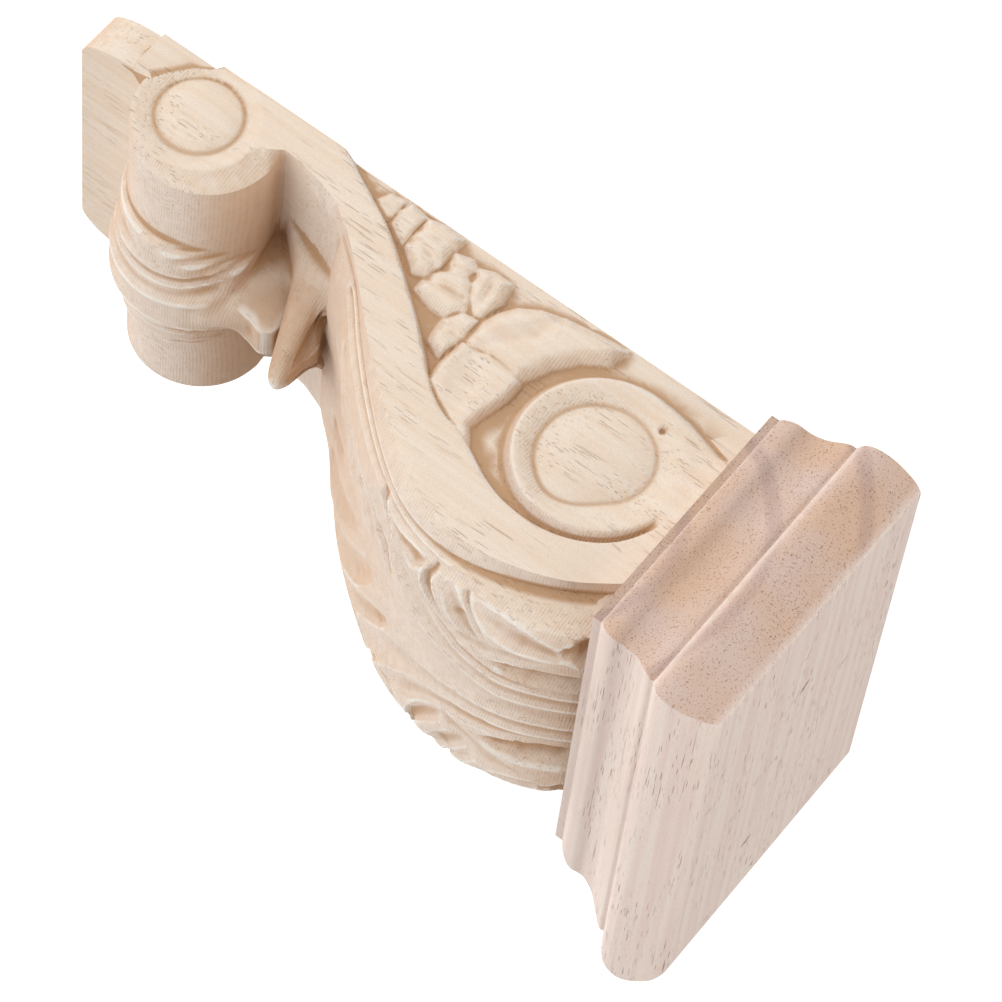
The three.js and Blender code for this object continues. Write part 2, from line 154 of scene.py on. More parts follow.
# Lines of the side view, from the cap down. The leaf's rise and the rim's fall are measured from the
# belly's groove, and the squareness says how flat the leaf stays before it turns down into it.
BELLY_GROOVE = [
    (38, 29.4), (43.7, 37.5), (47.6, 45.5), (50, 53.5), (50.2, 61.5), (47.8, 69.5),
    (42.5, 77.5), (35.5, 85.5), (27.5, 93.5), (19.5, 100.8), (13.8, 107.5),
]
THROAT_GROOVE = [
    (12.4, 110), (11.4, 112), (10.6, 113.8), (9.9, 115.6), (9.2, 117.5), (8.5, 119.5), (7.8, 121.6),
    (7.2, 123.6), (6.8, 125.2), (6.8, 126.3), (8, 126.9), (10, 126.7),
]
LEAF_RISE = [9.6, 9.2, 8.4, 5.8, 3.4, 2.4, 2.6, 3.2, 3.4, 3.0, 2.6]
RIM_FALL = [0.5, 0.2, 0.7, 1.5, 2.4, 2.6, 2.4, 1.8, 0.8, 0, 0.2]
LEAF_SQUARENESS = [12, 12, 11, 9.5, 8.5, 7.5, 7, 7, 7, 7, 7]
LIP_MIDDLE = [
    (19.6, 108.2), (23.2, 108.9), (27, 108.7), (28.9, 109.8),
    (28.2, 111.8), (25, 113.7), (20, 115), (15.8, 116),
]
LIP_HALF_WIDTH = 14
LIP_SQUARENESS = 1.3
LEDGE_MIDDLE = [(17, 116.2), (21.4, 115.8), (23.1, 117.8), (22.4, 121)]
LEDGE_EDGE = (3.5, 7)
THROAT_FACE = [
    (11.8, 110.2), (10.2, 112.2), (9.4, 114), (8.8, 115.8), (8.2, 117.6), (7.8, 119.6), (7.4, 121.7),
    (7.1, 123.6), (7, 125.2), (7, 126.3), (7.6, 127.2), (8.6, 128.6),
]

# The small scroll: out, down and radius of its barrel and of its face, and the angles above straight
# out, in degrees, at which each line comes on to it and at which all of them end.
SCROLL = (11, 140, 13.4)
SCROLL_FACE = (10.6, 142.3, 11.7)
SCROLL_KEYS = 12
SCROLL_WALL = 31
GROOVE_ON_SCROLL = 85
FACE_ON_SCROLL = 92
LEAF_ON_SCROLL = 48
SCROLL_END_ANGLE = -98
BARREL_FLARE = 0.12
BARREL_FLARE_REACH = (14, 23)
LOWER_LEAF_RADIUS = (14, 20)
LOWER_LEAF_SWELL = (-110, 20)
LOWER_LEAF_EDGE = 15
LOWER_LEAF_TIP = (0.62, 0.38)
LOWER_LEAF_TIP_KEYS = 4
LOWER_LEAF_ROUNDING = 0.55
LOWER_LEAF_STEP = (0.4, 0.8)

BELLY_END = len(BELLY_GROOVE) - 1
LIP_END = BELLY_END + len(LIP_MIDDLE)
LEDGE_END = LIP_END + len(LEDGE_MIDDLE)
SCROLL_START = LEDGE_END + 1
LAST_KEY = LEDGE_END + SCROLL_KEYS
FRONT_CARVING_END = BELLY_END + 3
LOWER_CARVING_FULL = LEDGE_END + 2.4

# The middle of the leaf lies lower than its line by LEAF_SETTLE. This fades out between the two
# distances from the middle, and over the leaf's last keys before the lip.
LEAF_LENGTH = 101
LEAF_SETTLE = 1.4
LEAF_SETTLE_EDGE = (12, 24)
LEAF_SETTLE_KEYS = 2
RIM_START = (28, 29)
# Each scoop of the carver's gouge: points of its middle, each with its distance from the middle of
# the leaf, its distance down the leaf, its reach and its depth.
MIDDLE_SCOOPS = [
    [(0, 0, 3.1, 1.0), (0, 20, 3.0, 1.0), (0, 27, 4.5, 1.1), (0, 36, 6, 1.1), (0, 50, 6, 0.9),
     (0, 70, 4.5, 0.8), (0, 101, 3, 0.3)],
    [(5, 0, 1.9, 0.8), (5.2, 20, 2.2, 0.9), (6.3, 28, 2.6, 0.9), (8.5, 35, 3.2, 1.0), (12, 42, 4, 1.0),
     (17, 49, 4.4, 1.1), (22, 55, 4, 0.8)],
    [(8.3, 0, 1.4, 0.7), (8.6, 14, 1.4, 0.7), (9, 22, 1.8, 0.9), (10.5, 29, 2.1, 0.9), (13.5, 35, 2.4, 0.8),
     (17, 40, 2.7, 0.9), (21, 45, 2.7, 0.7), (24.4, 49, 1.8, 0.5)],
]
LOBE_SCOOPS = [
    [(20, 12, 0.8, 0.2), (18.8, 19, 2.4, 0.8), (16.8, 25, 2.8, 1.0), (14.6, 30, 2.0, 0.6)],
    [(27, 28.4, 0.9, 0.9), (25, 27.3, 1.1, 0.9), (22.4, 25.3, 1.6, 0.9), (19, 23, 1.8, 0.7)],
    [(27.2, 36.2, 0.9, 0.9), (25, 37.4, 1.2, 1.0), (22, 36.8, 1.8, 1.1), (18.8, 34.8, 2.2, 1.0),
     (15.4, 31.6, 2, 0.7)],
    [(26, 31.8, 1.6, 0.6), (22.3, 28.9, 2.8, 1.5), (18, 25.7, 2.4, 1.1), (15.5, 24, 1.2, 0.3)],
    [(23, 11, 1.6, 0.9), (23.8, 16.6, 2.5, 1.5), (25.1, 21.5, 2.2, 1.2), (26.4, 25.4, 1.2, 0.6)],
    [(26.4, 38.8, 1.2, 0.6), (25, 42, 2.2, 1.2), (24.3, 46, 2.2, 1.2), (25, 50, 1.4, 0.6)],
    [(28, 55, 0.8, 0.8), (25.4, 53, 1.4, 1.0), (22.6, 50.4, 1.6, 0.7)],
    [(8.4, 50, 1.2, 0.4), (13.5, 53.7, 2.6, 1.1), (17.5, 58.5, 2.6, 0.9), (22, 66, 1.6, 0.3)],
    [(4, 58, 2, 0.5), (9, 61, 3, 1.0), (15, 65.5, 3.6, 1.2), (20, 72, 3.2, 1.0), (24, 83, 1.8, 0.5)],
    [(3, 67, 2, 0.4), (8, 71, 3, 0.9), (14, 77, 3.4, 0.9), (19, 88, 2.5, 0.6)],
    [(3, 79, 2, 0.4), (7, 83, 2.6, 0.8), (12, 90, 2.5, 0.6)],
]
PITS = [
    [(12.6, -2, 3.3, 3.2), (13, 8, 3.7, 3.9), (13.3, 14, 3.4, 3.5), (13.3, 18.6, 2.2, 2.2),
     (13.2, 22, 0.8, 0.2)],
    [(23.9, -2, 3.4, 2.4), (23.8, 6, 3.3, 2.9), (23.7, 8.8, 1.8, 1.6), (23.6, 10.6, 0.6, 0.2)],
]
RIM_SCOOPS = [
    [(29.6, -2, 0.75, 0.5), (29.6, 92, 0.75, 0.5)],
    [(28.2, -2, 0.8, 0.55), (28.2, 92, 0.8, 0.55)],
]
LIP_SCOOPS = [
    [(7.5, 100, 2.0, 0.2), (6.6, 108, 4.0, 1.3), (5.4, 117, 3.8, 1.7), (4, 124, 2.4, 1.1), (3, 130, 1, 0.2)],
]
LOWER_LEAF_LENGTH = 60
LOWER_SCOOPS = [
    [(0, 0, 3.4, 0.9), (0, 14, 3.4, 1.3), (0, 30, 3.0, 1.1), (0, 50, 2.4, 0.4)],
    [(6.4, 2, 1.9, 0.9), (5.2, 12, 1.8, 0.9), (5.0, 26, 1.8, 0.9), (5, 42, 1.6, 0.3)],
    [(9.4, 3, 1.4, 0.7), (7.8, 12, 1.3, 0.8), (7.4, 24, 1.4, 0.8), (7.4, 38, 1.2, 0.3)],
    [(10.4, 26, 1.2, 0.2), (10.4, 34, 2.2, 0.7), (9, 44, 2.2, 0.6)],
]


def ease(low, high, value):
    share = np.clip((value - low) / (high - low), 0, 1)
    return share * share * (3 - 2 * share)


def offset_line(line, distances):
    """The line moved square to itself, outwards where the distance is positive."""
    line = np.array(line, float)
    run = np.gradient(line, axis=0)
    run /= np.hypot(run[:, 0], run[:, 1])[:, None]
    return line + np.stack([run[:, 1], -run[:, 0]], 1) * np.array(distances, float)[:, None]


def scroll_arc(centre_out, centre_down, radius, start):
    angle = np.radians(np.linspace(start, SCROLL_END_ANGLE, SCROLL_KEYS))
    reach = radius(np.degrees(angle))
    return np.stack([centre_out + reach * np.cos(angle), centre_down - reach * np.sin(angle)], 1)


def same(radius):
    return lambda angle: np.full_like(angle, radius)


def lower_leaf_radius(angle):
    low, high = LOWER_LEAF_RADIUS
    return low + (high - low) * ease(*LOWER_LEAF_SWELL, angle)


def body_keys():
    """Matching points of the groove beside the leaf, the face at the side, and the middle."""
    groove = np.vstack([
        BELLY_GROOVE, THROAT_GROOVE,
        scroll_arc(SCROLL[0], SCROLL[1], same(SCROLL[2]), GROOVE_ON_SCROLL),
    ])
    face = np.vstack([
        offset_line(BELLY_GROOVE, [-fall for fall in RIM_FALL]), THROAT_FACE,
        scroll_arc(SCROLL_FACE[0], SCROLL_FACE[1], same(SCROLL_FACE[2]), FACE_ON_SCROLL),
    ])
    middle = np.vstack([
        offset_line(BELLY_GROOVE, LEAF_RISE), LIP_MIDDLE, LEDGE_MIDDLE,
        scroll_arc(SCROLL[0], SCROLL[1], lower_leaf_radius, LEAF_ON_SCROLL),
    ])
    return groove, face, middle


def middle_share(away):
    """For each key, how fully it belongs to the middle line at these distances from the middle."""
    share = np.empty((LAST_KEY + 1, len(away)))
    for key in range(BELLY_END + 1):
        share[key] = 1 - np.minimum(away / GROOVE_HALF_WIDTH, 1) ** LEAF_SQUARENESS[key]
    share[BELLY_END + 1:LIP_END + 1] = 1 - np.minimum(away / LIP_HALF_WIDTH, 1) ** LIP_SQUARENESS
    share[LIP_END + 1:LEDGE_END + 1] = 1 - ease(*LEDGE_EDGE, away)
    flare = BARREL_FLARE * (1 - ease(*BARREL_FLARE_REACH, away))
    tip, swell = LOWER_LEAF_TIP
    for step in range(SCROLL_KEYS):
        edge = LOWER_LEAF_EDGE * (tip + swell * ease(0, LOWER_LEAF_TIP_KEYS, step))
        fall = 1 - LOWER_LEAF_ROUNDING * ease(0, edge, away)
        leaf = fall * (1 - ease(edge - LOWER_LEAF_STEP[0], edge + LOWER_LEAF_STEP[1], away))
        share[SCROLL_START + step] = np.maximum(leaf, flare)
    return share


def smooth_curve(keys, t):
    """The smooth curve through keys, at places t along them, with its direction."""
    last = len(keys) - 1
    start = np.clip(np.floor(t).astype(int), 0, last - 1)
    u = (t - start)[:, None, None]
    a, b, c, d = (keys[np.clip(start + step, 0, last)] for step in (-1, 0, 1, 2))
    into, out_of = (c - a) / 2, (d - b) / 2
    cubic = 2 * b - 2 * c + into + out_of
    square = -3 * b + 3 * c - 2 * into - out_of
    point = cubic * u ** 3 + square * u ** 2 + into * u + b
    run = 3 * cubic * u ** 2 + 2 * square * u + into
    return point, run / np.maximum(np.hypot(run[..., 0], run[..., 1]), 1e-9)[..., None]


def beside_stretch(start, end, across, along):
    """How far along a straight stretch each place lies, from 0 to 1, and how far off it."""
    (x0, y0), (x1, y1) = start[:2], end[:2]
    length = (x1 - x0) ** 2 + (y1 - y0) ** 2
    share = np.clip(((across - x0) * (x1 - x0) + (along - y0) * (y1 - y0)) / length, 0, 1)
    gap = np.hypot(across - x0 - share * (x1 - x0), along - y0 - share * (y1 - y0))
    return share, gap


def scooped(scoops, across, along):
    """How deep the round-bottomed gouge cuts are at each place."""
    deepest = np.zeros(np.broadcast(across, along).shape)
    for scoop in scoops:
        for start, end in zip(scoop, scoop[1:]):
            share, gap = beside_stretch(start, end, across, along)
            reach = start[2] + (end[2] - start[2]) * share
            depth = start[3] + (end[3] - start[3]) * share
            deepest = np.maximum(deepest, depth * (1 - (gap / reach) ** 2))
    return deepest


def leaf_carving(key, away):
    """How far the carved front is raised at each key place and distance from the middle."""
    key, away = key[:, None], away[None, :]
    along = key / BELLY_END * LEAF_LENGTH
    cuts = np.maximum(scooped(LOBE_SCOOPS, away, along), scooped(MIDDLE_SCOOPS, away, along))
    cuts = np.maximum(cuts, scooped(PITS, away, along))
    front = -cuts * (1 - ease(*RIM_START, away)) - scooped(RIM_SCOOPS, away, along)
    front = np.minimum(front, -scooped(LIP_SCOOPS, away, along))
    settled = 1 - ease(BELLY_END - LEAF_SETTLE_KEYS, BELLY_END, key)
    front = front - LEAF_SETTLE * (1 - ease(*LEAF_SETTLE_EDGE, away)) * settled
    along = (key - SCROLL_START) / (LAST_KEY - SCROLL_START) * LOWER_LEAF_LENGTH
    lower = -scooped(LOWER_SCOOPS, away, along) * ease(SCROLL_START, LOWER_CARVING_FULL, key)
    return np.where(key <= FRONT_CARVING_END, front, 0) + np.where(key >= SCROLL_START, lower, 0)


def key_places():
    groove, _, middle = body_keys()
    length = np.maximum(np.hypot(*np.diff(groove, axis=0).T), np.hypot(*np.diff(middle, axis=0).T))
    places = [np.linspace(i, i + 1, max(2, int(round(step / FRONT_CELL))), endpoint=False)
              for i, step in enumerate(length)]
    return np.append(np.concatenate(places), LAST_KEY)


def share_beyond(away, start):
    """How far each place lies from start towards the side face, and a little past it."""
    return np.clip((away - start) / (BODY_HALF_WIDTH - start), 0, RIM_OVERSHOOT)


def front_rings():
    """Points of the block's side section at each station across it: (station, point, xyz)."""
    groove, face, middle = body_keys()
    overhang = BODY_HALF_WIDTH + BLOCK_OVERHANG
    x = np.linspace(-overhang, overhang, int(round(2 * overhang / FRONT_CELL)) + 1)
    away = np.abs(x)
    share = middle_share(away)[..., None]
    keys = groove[:, None] + (middle - groove)[:, None] * share
    beyond = share_beyond(away, GROOVE_HALF_WIDTH) ** RIM_ROUNDNESS
    wall = share_beyond(away, SCROLL_WALL)
    on_scroll = ease(LIP_END, LEDGE_END, np.arange(LAST_KEY + 1))[:, None]
    outward = beyond[None, :] + (wall - beyond)[None, :] * on_scroll
    keys = keys + (face[:, None] - keys) * outward[..., None]
    place = key_places()
    point, run = smooth_curve(keys, place)
    raised = leaf_carving(place, away)
    point = point + np.stack([run[..., 1], -run[..., 0]], -1) * raised[..., None]
    count = len(x)
    closing = [
        [(BOARD_THICKNESS, TAIL_TOP)] * count,
        [(BOARD_THICKNESS, HEIGHT)] * count,
        [(0, HEIGHT)] * count,
        [(0, ABOVE_BODY)] * count,
        np.stack([point[0][:, 0] - BLOCK_SETBACK, np.full(count, float(ABOVE_BODY))], 1),
    ]
    ring = np.concatenate([point, np.array(closing, float)])
    out, down = ring[..., 0].T, ring[..., 1].T
    return np.stack([np.broadcast_to(x[:, None], out.shape), -out, HEIGHT / 2 - down], -1) * MM


def grid_points(mesh, columns, rows):
    """A flat grid of the right number of points, whose points are then moved into place."""
    bmesh.ops.create_grid(mesh, x_segments=columns - 1, y_segments=rows - 1, size=1)
    mesh.verts.ensure_lookup_table()


def closed_loft(rings):
    """A solid through rings of points: a grid wrapped round them, with its two ends filled."""
    rings = np.array(rings, float)
    wrapped = np.concatenate([rings, rings[:, :1]], axis=1)
    mesh = bmesh.new()
    grid_points(mesh, wrapped.shape[1], wrapped.shape[0])
    for vert, place in zip(mesh.verts, wrapped.reshape(-1, 3)):
        vert.co = place
    bmesh.ops.remove_doubles(mesh, verts=mesh.verts, dist=SAME_PLACE)
    bmesh.ops.holes_fill(mesh, edges=mesh.edges, sides=0)
    bmesh.ops.recalc_face_normals(mesh, faces=mesh.faces)
    return mesh


# The sides of the carved body: the raised band, the volute that opens out under the cap, the leaves
# and husks, the small scroll's face with its eye, and one knot hole.
BAND_BACK = [
    (-1, 119.4), (2, 114.5), (5, 108.5), (8, 103), (14, 95), (20.5, 87), (28, 78.5), (31, 73.5), (32, 69.5),
    (34, 65.5), (36.6, 60.5), (38.2, 55), (38.3, 48), (36.5, 42), (33, 37), (28, 33.8), (22, 32.2),
    (16, 31.5),
]
BAND_POINTS = 60
BAND_BEYOND = [(16, 18), (90, 18), (90, 190), (-9, 190), (-9, 119.4)]
BAND_STEP = (-1.0, 0.6)
FULL_TURN = 360
VOLUTE = (21, 48.3)
VOLUTE_RADIUS = 16.4
VOLUTE_TOP = 33.2
VOLUTE_WALL = 1.9
VOLUTE_WALL_FOOT = -0.4
VOLUTE_GROOVE_DEPTH = 1.3
VOLUTE_SLOPE_POWER = 1.4
VOLUTE_DOME = 0.9
VOLUTE_DOME_POWER = 3
VOLUTE_EYE = 8.7
VOLUTE_EYE_STEP = (-0.4, 0.6)
VOLUTE_SPREAD = 3.4
VOLUTE_START_ANGLE = -45
VOLUTE_TURN = 290
VOLUTE_OPENING = [(8, 18), (7.6, 33), (5.4, 40.5), (4.7, 46), (21, 49), (21, 18)]
VOLUTE_MERGE = [(10, 46), (19, 47), (27, 38), (36, 26), (36, 18), (10, 18)]
VOLUTE_MERGE_SLOPE = 0.35
BELOW_SCROLL = [(-1, 145), (1, 146.5), (3, 149.5), (7, 152.5), (10, 153.8), (14, 172), (-1, 172)]
BELOW_SCROLL_FOOT = -0.5
SCROLL_EYE = (10, 142.5)
SCROLL_EYE_RADIUS = 7.8
SCROLL_EYE_POWER = 3
SCROLL_RING = 11.4
SCROLL_RING_EDGE = 1
SCROLL_RING_POWER = 1.3
SCROLL_SINK = 1.2
KNOT = (10.3, 43.3)
KNOT_RADIUS = 0.7
KNOT_DEPTH = 0.9
KNOT_EDGE = (0.2, 1.3)
# Each leaf or husk on the side: its outline, its rise from the board, and the width of its shoulder.
SIDE_LEAVES = [
    ([(0.8, 57), (5, 58), (8, 62), (12, 65), (18, 67.6), (18.6, 70), (18.2, 74), (19, 78), (17.5, 80),
      (12, 80), (9, 78.9), (6, 76.8), (3.8, 73.5), (2.4, 69), (1.4, 63)], 2.2, 3.4),
    ([(16.6, 68.4), (18, 67.2), (22, 67.2), (27, 68.4), (30, 68.8), (33, 66.5), (34.5, 65.5), (33, 70),
      (31.5, 73.5), (29.3, 77.5), (27.8, 80), (23, 80.4), (17.5, 80), (16.4, 75)], 2.0, 2.0),
    ([(2.7, 80.4), (7, 79.2), (12, 79.6), (13, 81.5), (10.2, 84.9), (7, 87), (3.8, 86.8), (2.7, 84)],
     1.7, 2.8),
    ([(12, 79.7), (18, 79.4), (22.4, 81), (20.8, 84.8), (16, 85.4), (12.4, 83.6)], 1.7, 2.4),
    ([(12.6, 82), (15.8, 85), (15.2, 89), (14.4, 92.9), (10.5, 92.8), (8, 91.5), (3.8, 92), (3, 88.5),
      (4.2, 86.3), (9, 83.8)], 1.9, 3.4),
    ([(0.8, 92), (8, 91.2), (11.2, 92.4), (11.8, 95), (10.2, 97.3), (8.4, 99.3), (5, 99.9), (1.4, 99.5),
      (0.5, 96)], 2.0, 3.0),
    ([(1.4, 99.2), (6.5, 98.8), (8.6, 99.5), (8.2, 101.7), (6.9, 104), (3.5, 104.6), (0.8, 103.4)], 1.7, 2.4),
    ([(0.8, 104), (5.5, 103.5), (6.8, 105), (5.8, 107.8), (4, 108.8), (1.5, 107.5)], 1.4, 2.0),
]
LEAF_OVERLAP = 0.5
SIDE_SCOOPS = [
    [(4, 69.5, 1.6, 0.3), (9, 71.5, 2.2, 0.5), (15, 76.5, 2, 0.4)],
    [(18.2, 76.4, 2.2, 0.3), (23, 74.5, 3.6, 0.6), (29, 73.5, 2.4, 0.3)],
    [(4.6, 83, 1.2, 0.4), (10, 82, 1.2, 0.4)],
    [(6.4, 86.5, 1.4, 0.5), (7.6, 90.5, 1.4, 0.4)],
    [(10.8, 85.5, 1.3, 0.5), (11.3, 91.5, 1.3, 0.5)],
    [(4, 93, 1.3, 0.4), (4.4, 98.5, 1.2, 0.3)],
    [(8, 93.2, 1.3, 0.5), (7.2, 98, 1.2, 0.4)],
    [(17.6, 81, 1.2, 0.4), (17.4, 84.5, 1.2, 0.4)],
]
# The grid of the sides: how far it runs past the block, and its cells.
SIDE_CELL = 0.36
SLAB_OUT = (-1, 53)
SLAB_MARGIN = 20
SLAB_BELOW = 1
TAIL_STEP = 0.01


def depth_inside(outline, across, along):
    """Distance to the outline, positive inside it."""
    closed = list(outline) + [outline[0]]
    gap = np.full(np.broadcast(across, along).shape, np.inf)
    inside = np.zeros(gap.shape, bool)
    for (x0, y0), (x1, y1) in zip(closed, closed[1:]):
        gap = np.minimum(gap, beside_stretch((x0, y0), (x1, y1), across, along)[1])
        if y0 == y1:
            continue
        crosses = (y0 > along) != (y1 > along)
        inside ^= crosses & (across < (x1 - x0) * (along - y0) / (y1 - y0) + x0)
    return np.where(inside, gap, -gap)


def rounded(outline, count):
    """The outline as a smooth curve of this many points."""
    points = np.array(outline, float)[:, None, :]
    point, _ = smooth_curve(points, np.linspace(0, len(outline) - 1, count))
    return [tuple(place) for place in point[:, 0]]


def distance_from(centre, out, down):
    return np.hypot(out - centre[0], down - centre[1])


def volute_height(out, down):
    """Half the body's width on the volute: a slope down to a spiral line, and a low dome inside it."""
    reach = distance_from(VOLUTE, out, down)
    angle = np.degrees(np.arctan2(down - VOLUTE[1], out - VOLUTE[0]))
    turn = (VOLUTE_START_ANGLE - angle) % FULL_TURN
    spiral = VOLUTE_EYE + VOLUTE_SPREAD * turn / FULL_TURN
    spiral = spiral - VOLUTE_SPREAD * ease(VOLUTE_TURN, FULL_TURN, turn)
    foot = VOLUTE_RADIUS - VOLUTE_WALL
    ring = np.clip((foot - reach) / (foot - spiral), 0, 1)
    dome = np.clip(reach / spiral, 0, 1)
    slope = VOLUTE_TOP - VOLUTE_GROOVE_DEPTH * ring ** VOLUTE_SLOPE_POWER
    inner = VOLUTE_TOP - VOLUTE_GROOVE_DEPTH + VOLUTE_DOME * (1 - dome ** VOLUTE_DOME_POWER)
    return slope + (inner - slope) * ease(*VOLUTE_EYE_STEP, spiral - reach)


def above_board(height, share):
    """The board's half width, raised by this share of the way to the height."""
    return BOARD_HALF_WIDTH + (height - BOARD_HALF_WIDTH) * share


def leaf_relief(out, down):
    """How far the side leaves and husks stand up from the board."""
    relief = np.zeros(out.shape)
    for outline, rise, shoulder in SIDE_LEAVES:
        inside = np.clip((depth_inside(outline, out, down) + LEAF_OVERLAP) / shoulder, 0, 1)
        relief = np.maximum(relief, rise * inside * (2 - inside))
    return np.maximum(relief - scooped(SIDE_SCOOPS, out, down) * ease(0, 1, relief), 0)


def scroll_sinking(out, down):
    """How far the small scroll's face is sunk round its eye."""
    reach = distance_from(SCROLL_FACE, out, down)
    eye = distance_from(SCROLL_EYE, out, down) / SCROLL_EYE_RADIUS
    ring = 1 - np.clip((reach - SCROLL_EYE_RADIUS) / (SCROLL_RING - SCROLL_EYE_RADIUS), 0, 1)
    bowl = np.clip(eye, 0, 1) ** SCROLL_EYE_POWER
    sunk = SCROLL_SINK * np.where(eye < 1, bowl, ring ** SCROLL_RING_POWER)
    return sunk * ease(SCROLL_RING, SCROLL_RING - SCROLL_RING_EDGE, reach)


def side_height(out, down):
    """Half the body's width at a place in its side view."""
    band = rounded(BAND_BACK, BAND_POINTS) + BAND_BEYOND
    height = above_board(BODY_HALF_WIDTH, ease(*BAND_STEP, depth_inside(band, out, down)))
    disc = VOLUTE_RADIUS - distance_from(VOLUTE, out, down)
    disc = np.maximum(disc, depth_inside(VOLUTE_OPENING, out, down))
    disc = np.maximum(disc, VOLUTE_MERGE_SLOPE * depth_inside(VOLUTE_MERGE, out, down))
    volute = above_board(volute_height(out, down), ease(VOLUTE_WALL_FOOT, VOLUTE_WALL, disc))
    height = np.maximum(height, volute)
    height = np.maximum(height, BOARD_HALF_WIDTH + leaf_relief(out, down))
    height = height - scroll_sinking(out, down)
    knot = distance_from(KNOT, out, down) / KNOT_RADIUS
    height = height - KNOT_DEPTH * (1 - ease(*KNOT_EDGE, knot))
    below = ease(BELOW_SCROLL_FOOT, 0, depth_inside(BELOW_SCROLL, out, down))
    height = height + (BOARD_HALF_WIDTH - height) * below
    cove = np.clip((down - TAIL_TOP) / TAIL_HEIGHT, 0, 1)
    tail = TAIL_NECK_HALF_WIDTH + (TAIL_HALF_WIDTH - TAIL_NECK_HALF_WIDTH) * (1 - np.sqrt(1 - cove ** 2))
    return np.where(down > TAIL_TOP, np.minimum(height, tail), height)


def side_slab():
    """The space between the two carved sides, wider than the block at the back, front and bottom."""
    out = np.arange(*SLAB_OUT, SIDE_CELL)
    down = np.concatenate([
        np.arange(BODY_TOP, TAIL_TOP, SIDE_CELL),
        [TAIL_TOP - TAIL_STEP, TAIL_TOP + TAIL_STEP],
        np.arange(TAIL_TOP + SIDE_CELL, HEIGHT + SLAB_BELOW, SIDE_CELL),
    ])
    grid_out, grid_down = np.meshgrid(out, down)
    height = side_height(grid_out, grid_down)
    grid_out[:, -1] += SLAB_MARGIN
    mesh = bmesh.new()
    grid_points(mesh, len(out), len(down))
    for vert, x, across, along in zip(mesh.verts, height.ravel(), grid_out.ravel(), grid_down.ravel()):
        vert.co = (x * MM, -across * MM, (HEIGHT / 2 - along) * MM)
    other_side = bmesh.ops.extrude_face_region(mesh, geom=mesh.faces, use_keep_orig=True)["geom"]
    for vert in (item for item in other_side if isinstance(item, bmesh.types.BMVert)):
        vert.co.x = -vert.co.x
    bmesh.ops.recalc_face_normals(mesh, faces=mesh.faces)
    return mesh


def as_object(name, mesh):
    data = bpy.data.meshes.new(name)
    mesh.to_mesh(data)
    mesh.free()
    piece = bpy.data.objects.new(name, data)
    bpy.context.scene.collection.objects.link(piece)
    return piece


def finish_mesh(piece):
    """Applies the piece's modifiers to its mesh."""
    evaluated = piece.evaluated_get(bpy.context.evaluated_depsgraph_get())
    data = bpy.data.meshes.new_from_object(evaluated)
    piece.modifiers.clear()
    old = piece.data
    piece.data = data
    bpy.data.meshes.remove(old)


def cut_with(piece, operation, tool):
    """Cuts the piece with a solid that is then thrown away."""
    cut = piece.modifiers.new("cut", "BOOLEAN")
    cut.operation = operation
    cut.solver = "MANIFOLD"
    cut.object = tool
    finish_mesh(piece)
    bpy.data.objects.remove(tool)


def shade(piece, sharp_angle):
    piece.data.shade_smooth()
    piece.data.set_sharp_from_angle(angle=math.radians(sharp_angle))


# How the relief is measured for the painted highlight on crests and the painted shade in hollows: rounds of
# smoothing for each. Near sharp corners, and on the small scroll beyond CREST_LIMIT (down, from the middle),
# no crest is marked.
BODY_FACES = 190000
BODY_SHARP_ANGLE = 42
CREST_ROUNDS = 3
HOLLOW_ROUNDS = 24
CORNER_TURN = 0.75
CORNER_SHARE = 0.1
CREST_LIMIT = (119, 17)


def mark_relief(piece):
    """Stores on each point how far, in millimetres, it lies above or below the smoothed surface."""
    data = piece.data
    count = len(data.vertices)
    place = np.empty(count * 3)
    data.vertices.foreach_get("co", place)
    place = place.reshape(-1, 3) / MM
    normal = np.empty(count * 3)
    data.vertices.foreach_get("normal", normal)
    normal = normal.reshape(-1, 3)
    ends = np.empty(len(data.edges) * 2, int)
    data.edges.foreach_get("vertices", ends)
    first, second = ends.reshape(-1, 2).T
    links = np.bincount(first, minlength=count) + np.bincount(second, minlength=count)

    def spread(values):
        total = np.bincount(first, values[second], count) + np.bincount(second, values[first], count)
        return total / np.maximum(links, 1)

    corner = np.zeros(count, bool)
    turned = (normal[first] * normal[second]).sum(1) < CORNER_TURN
    corner[first[turned]] = True
    corner[second[turned]] = True
    for _ in range(CREST_ROUNDS + 1):
        corner |= spread(corner.astype(float)) > CORNER_SHARE
    corner |= (HEIGHT / 2 - place[:, 2] > CREST_LIMIT[0]) & (np.abs(place[:, 0]) > CREST_LIMIT[1])
    for name, rounds, sign in (("crest", CREST_ROUNDS, 1), ("hollow", HOLLOW_ROUNDS, -1)):
        smooth = place.copy()
        for _ in range(rounds):
            smooth = 0.5 * smooth + 0.5 * np.stack([spread(axis) for axis in smooth.T], 1)
        above = sign * ((place - smooth) * normal).sum(1)
        above = 0.5 * above + 0.5 * spread(above)
        if name == "crest":
            above = np.where(corner, 0, above)
        attribute = data.attributes.new(name, "FLOAT", "POINT")
        attribute.data.foreach_set("value", above.astype(np.float32))


def carve_body():
    body = as_object("carved_body_fine", closed_loft(front_rings()))
    cut_with(body, "INTERSECT", as_object("side_slab", side_slab()))
    mark_relief(body)
    triangles = sum(len(face.vertices) - 2 for face in body.data.polygons)
    thinned = body.modifiers.new("thinned", "DECIMATE")
    thinned.ratio = min(1, BODY_FACES / triangles)
    finish_mesh(body)
    shade(body, BODY_SHARP_ANGLE)
    return body


body = carve_body()
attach(body, "root")
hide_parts("carved_body")

